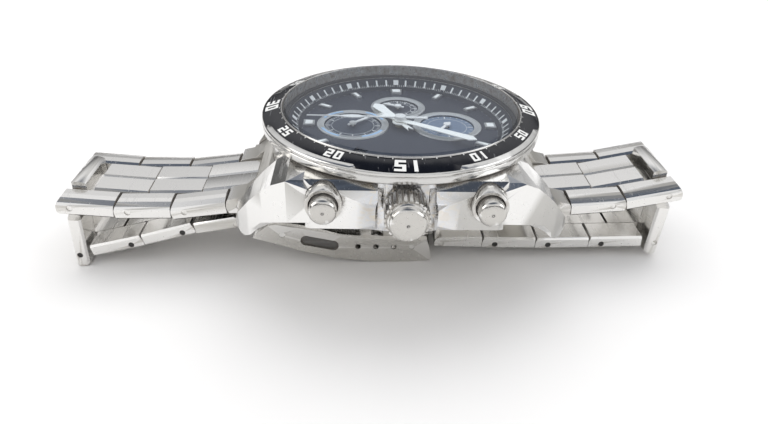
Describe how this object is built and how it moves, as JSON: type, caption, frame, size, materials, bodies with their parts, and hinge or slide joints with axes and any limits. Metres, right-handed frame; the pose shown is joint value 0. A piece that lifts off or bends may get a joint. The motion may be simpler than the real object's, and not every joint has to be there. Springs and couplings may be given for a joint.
{
  "type": "chronograph wristwatch",
  "caption": "Analogue chronograph wristwatch with a numbered dive-style bezel, crown, pushers, sub-counters and a closed steel link bracelet with a folding clasp.",
  "frame": {"origin": "hands' axis at the outer face of the case back", "axes": "+Z out of the crystal, +X towards 12 o'clock, -Y towards the crown at 3 o'clock"},
  "size_m": [0.0945, 0.046, 0.0247],
  "materials": {
    "polished_steel": "polished",
    "brushed_steel": "brushed",
    "bezel_black": "gloss",
    "crystal": "clear",
    "gasket": "matte",
    "dial_black": "satin",
    "marker_white": "satin",
    "brass": "satin",
    "board": "matte",
    "holder": "matte",
    "coil": "satin"
  },
  "bodies": {
    "case": {"mid_case": "brushed_steel", "case_tubes": "polished_steel", "bezel_ring": "polished_steel", "bezel_insert": "bezel_black", "crystal": "crystal", "crystal_gasket": "gasket", "chapter_ring": "dial_black", "dial": "dial_black", "hour_markers": "polished_steel", "counter_rings": "polished_steel", "movement_holder": "holder", "main_plate": "brass", "circuit_board": "board", "battery": "polished_steel", "motor_coils": "coil", "case_back": "brushed_steel", "case_back_gasket": "gasket", "end_links": "brushed_steel", "lug_spring_bars": "polished_steel", "spring_start": "polished_steel", "spring_reset": "polished_steel"},
    "minute_train": {"minute_hand": "marker_white", "cannon_pinion": "brass"},
    "hour_train": {"hour_hand": "marker_white", "hour_wheel": "brass"},
    "minute_wheel": {"minute_wheel": "brass"},
    "hand_24_hour": {"hand_24_hour": "marker_white"},
    "stopwatch_hand": {"stopwatch_hand": "marker_white"},
    "small_seconds_hand": {"small_seconds_hand": "marker_white"},
    "counter_hand": {"counter_hand": "marker_white"},
    "crown_carrier": {"crown_gasket": "gasket"},
    "crown": {"crown": "polished_steel", "winding_stem": "polished_steel"},
    "pusher_start": {"pusher_start": "polished_steel"},
    "pusher_reset": {"pusher_reset": "polished_steel"},
    "link_6_1": {"link_6_1": "brushed_steel"},
    "link_6_2": {"link_6_2": "brushed_steel"},
    "link_6_3": {"link_6_3": "brushed_steel"},
    "link_6_4": {"link_6_4": "brushed_steel"},
    "link_6_5": {"link_6_5": "brushed_steel"},
    "link_6_6": {"link_6_6": "brushed_steel"},
    "link_6_7": {"link_6_7": "brushed_steel"},
    "inner_blade": {"clasp_inner_blade": "brushed_steel"},
    "outer_blade": {"clasp_outer_blade": "brushed_steel"},
    "clasp_cover": {"clasp_cover": "brushed_steel", "cover_pins": "polished_steel", "clasp_tongue": "brushed_steel"},
    "button_near": {"button_near": "polished_steel"},
    "button_far": {"button_far": "polished_steel"},
    "link_12_1": {"link_12_1": "brushed_steel"},
    "link_12_2": {"link_12_2": "brushed_steel"},
    "link_12_3": {"link_12_3": "brushed_steel"},
    "link_12_4": {"link_12_4": "brushed_steel"},
    "link_12_5": {"link_12_5": "brushed_steel"},
    "link_12_6": {"link_12_6": "brushed_steel"},
    "link_12_7": {"link_12_7": "brushed_steel"}
  },
  "joints": [
    {"name": "minute_turn", "type": "hinge", "parent": "case", "child": "minute_train", "pos_m": [0, 0, 0.00885], "axis": [0, 0, -1], "continuous": true},
    {"name": "hour_turn", "type": "hinge", "parent": "case", "child": "hour_train", "pos_m": [0, 0, 0.0085], "axis": [0, 0, -1], "continuous": true},
    {"name": "minute_wheel_turn", "type": "hinge", "parent": "case", "child": "minute_wheel", "pos_m": [0, -0.00288, 0.0063], "axis": [0, 0, -1], "continuous": true},
    {"name": "hand_24_turn", "type": "hinge", "parent": "case", "child": "hand_24_hour", "pos_m": [0.0073, 0, 0.0081], "axis": [0, 0, -1], "continuous": true},
    {"name": "stopwatch_turn", "type": "hinge", "parent": "case", "child": "stopwatch_hand", "pos_m": [0, 0, 0.0093], "axis": [0, 0, -1], "continuous": true},
    {"name": "small_seconds_turn", "type": "hinge", "parent": "case", "child": "small_seconds_hand", "pos_m": [-0.0073, 0, 0.0081], "axis": [0, 0, -1], "continuous": true},
    {"name": "counter_turn", "type": "hinge", "parent": "case", "child": "counter_hand", "pos_m": [0, 0.0072, 0.0081], "axis": [0, 0, -1], "continuous": true},
    {"name": "crown_pull", "type": "slide", "parent": "case", "child": "crown_carrier", "axis": [0, -1, 0], "range_m": [0, 0.001]},
    {"name": "crown_turn", "type": "hinge", "parent": "crown_carrier", "child": "crown", "pos_m": [0, -0.022, 0.0051], "axis": [0, -1, 0], "continuous": true},
    {"name": "start_press", "type": "slide", "parent": "case", "child": "pusher_start", "axis": [0, 1, 0], "range_m": [0, 0.0008], "deforming": ["spring_start"]},
    {"name": "reset_press", "type": "slide", "parent": "case", "child": "pusher_reset", "axis": [0, 1, 0], "range_m": [0, 0.0008], "deforming": ["spring_reset"]},
    {"name": "bend_6_1", "type": "hinge", "parent": "case", "child": "link_6_1", "pos_m": [-0.02415, 0, -0.00185], "axis": [0, 1, 0], "range_deg": [0, 10]},
    {"name": "bend_6_2", "type": "hinge", "parent": "link_6_1", "child": "link_6_2", "pos_m": [-0.03252, 0, -0.00303], "axis": [0, 1, 0], "range_deg": [0, 10]},
    {"name": "bend_6_3", "type": "hinge", "parent": "link_6_2", "child": "link_6_3", "pos_m": [-0.04097, 0, -0.00317], "axis": [0, 1, 0], "range_deg": [0, 10]},
    {"name": "bend_6_4", "type": "hinge", "parent": "link_6_3", "child": "link_6_4", "pos_m": [-0.0494, 0, -0.00258], "axis": [0, 1, 0], "range_deg": [0, 80]},
    {"name": "bend_6_5", "type": "hinge", "parent": "link_6_4", "child": "link_6_5", "pos_m": [-0.04954, 0, -0.01103], "axis": [0, 1, 0], "range_deg": [0, 90]},
    {"name": "bend_6_6", "type": "hinge", "parent": "link_6_5", "child": "link_6_6", "pos_m": [-0.04134, 0, -0.00899], "axis": [0, 1, 0], "range_deg": [0, 12]},
    {"name": "bend_6_7", "type": "hinge", "parent": "link_6_6", "child": "link_6_7", "pos_m": [-0.03322, 0, -0.00666], "axis": [0, 1, 0], "range_deg": [0, 12]},
    {"name": "blade_end_bend", "type": "hinge", "parent": "link_6_7", "child": "inner_blade", "pos_m": [-0.02493, 0, -0.00505], "axis": [0, 1, 0], "range_deg": [0, 50]},
    {"name": "blade_unfold", "type": "hinge", "parent": "inner_blade", "child": "outer_blade", "pos_m": [-0.00325, 0, -0.00805], "axis": [0, -1, 0], "range_deg": [0, 100]},
    {"name": "cover_turn", "type": "hinge", "parent": "outer_blade", "child": "clasp_cover", "pos_m": [-0.018, 0, -0.00675], "axis": [0, 1, 0], "range_deg": [0, 100]},
    {"name": "button_near_press", "type": "slide", "parent": "clasp_cover", "child": "button_near", "axis": [0, 1, 0], "range_m": [0, 0.0006]},
    {"name": "button_far_press", "type": "slide", "parent": "clasp_cover", "child": "button_far", "axis": [0, -1, 0], "range_m": [0, 0.0006]},
    {"name": "bend_12_1", "type": "hinge", "parent": "case", "child": "link_12_1", "pos_m": [0.02415, 0, -0.00185], "axis": [0, -1, 0], "range_deg": [0, 10]},
    {"name": "bend_12_2", "type": "hinge", "parent": "link_12_1", "child": "link_12_2", "pos_m": [0.03256, 0, -0.00103], "axis": [0, -1, 0], "range_deg": [0, 10]},
    {"name": "bend_12_3", "type": "hinge", "parent": "link_12_2", "child": "link_12_3", "pos_m": [0.04081, 0, 0.0008], "axis": [0, -1, 0], "range_deg": [0, 80]},
    {"name": "bend_12_4", "type": "hinge", "parent": "link_12_3", "child": "link_12_4", "pos_m": [0.04051, 0, -0.00764], "axis": [0, -1, 0], "range_deg": [0, 85]},
    {"name": "bend_12_5", "type": "hinge", "parent": "link_12_4", "child": "link_12_5", "pos_m": [0.03207, 0, -0.00794], "axis": [0, -1, 0], "range_deg": [0, 10]},
    {"name": "bend_12_6", "type": "hinge", "parent": "link_12_5", "child": "link_12_6", "pos_m": [0.02362, 0, -0.00823], "axis": [0, -1, 0], "range_deg": [0, 10]},
    {"name": "bend_12_7", "type": "hinge", "parent": "link_12_6", "child": "link_12_7", "pos_m": [0.01517, 0, -0.00823], "axis": [0, -1, 0], "range_deg": [0, 10]}
  ],
  "couplings": [
    {"joint": "hour_turn", "follows": "minute_turn", "ratio": 0.083333},
    {"joint": "minute_wheel_turn", "follows": "minute_turn", "ratio": -0.33333},
    {"joint": "hand_24_turn", "follows": "minute_turn", "ratio": 0.041667},
    {"joint": "cover_turn", "follows": "blade_unfold", "ratio": 1}
  ]
}
